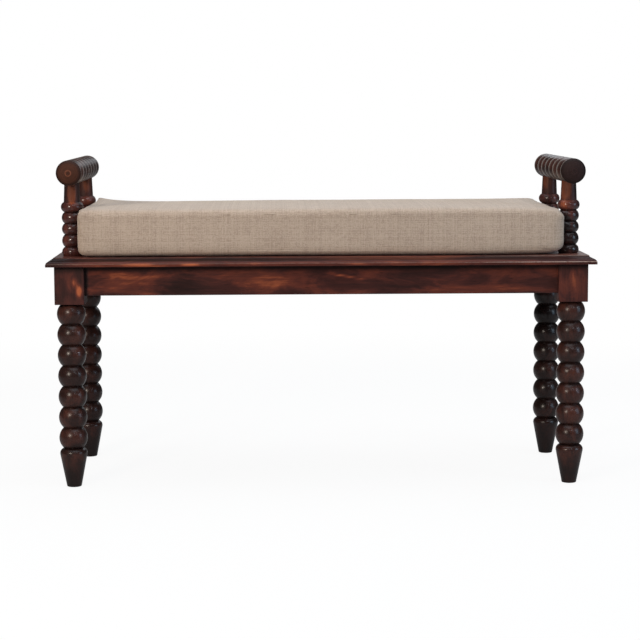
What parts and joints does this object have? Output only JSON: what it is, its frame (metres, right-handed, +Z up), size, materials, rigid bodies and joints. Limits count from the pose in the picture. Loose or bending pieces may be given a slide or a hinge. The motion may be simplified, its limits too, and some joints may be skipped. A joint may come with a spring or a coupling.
{
  "type": "entry bench",
  "caption": "Entry bench with turned bead legs, a moulded seat top, a turned roll on turned posts as an arm at each end, and a loose linen box cushion.",
  "frame": {"origin": "on the floor, midway between the legs", "axes": "+X along the bench's width to the right as seen from the front, +Y to the rear, +Z up"},
  "size_m": [1, 0.38, 0.601],
  "materials": {
    "chestnut_wood": "satin",
    "plain_wood": "matte",
    "zinc_steel": "satin",
    "linen": "matte",
    "foam": "matte"
  },
  "bodies": {
    "bench_frame": {"leg_front_left": "chestnut_wood", "leg_front_right": "chestnut_wood", "leg_rear_left": "chestnut_wood", "leg_rear_right": "chestnut_wood", "apron_front": "chestnut_wood", "apron_rear": "chestnut_wood", "apron_left": "chestnut_wood", "apron_right": "chestnut_wood", "seat_plank_1": "chestnut_wood", "seat_plank_2": "chestnut_wood", "seat_plank_3": "chestnut_wood", "seat_plank_4": "chestnut_wood", "seat_cross_rail": "plain_wood", "corner_block_front_left": "plain_wood", "corner_block_front_right": "plain_wood", "corner_block_rear_left": "plain_wood", "corner_block_rear_right": "plain_wood", "corner_block_screws": "zinc_steel", "seat_top_screws": "zinc_steel", "arm_post_front_left": "chestnut_wood", "arm_post_front_right": "chestnut_wood", "arm_post_rear_left": "chestnut_wood", "arm_post_rear_right": "chestnut_wood", "arm_post_screws": "zinc_steel", "arm_roll_left": "chestnut_wood", "arm_roll_right": "chestnut_wood"},
    "cushion": {"cushion_cover_base": "linen", "cushion_cover_border": "linen", "cushion_cover_top": "linen", "cushion_foam": "foam"}
  },
  "joints": [
    {"name": "cushion_draw_out", "type": "slide", "parent": "bench_frame", "child": "cushion", "axis": [0, -1, 0], "range_m": [0, 0.36]}
  ]
}
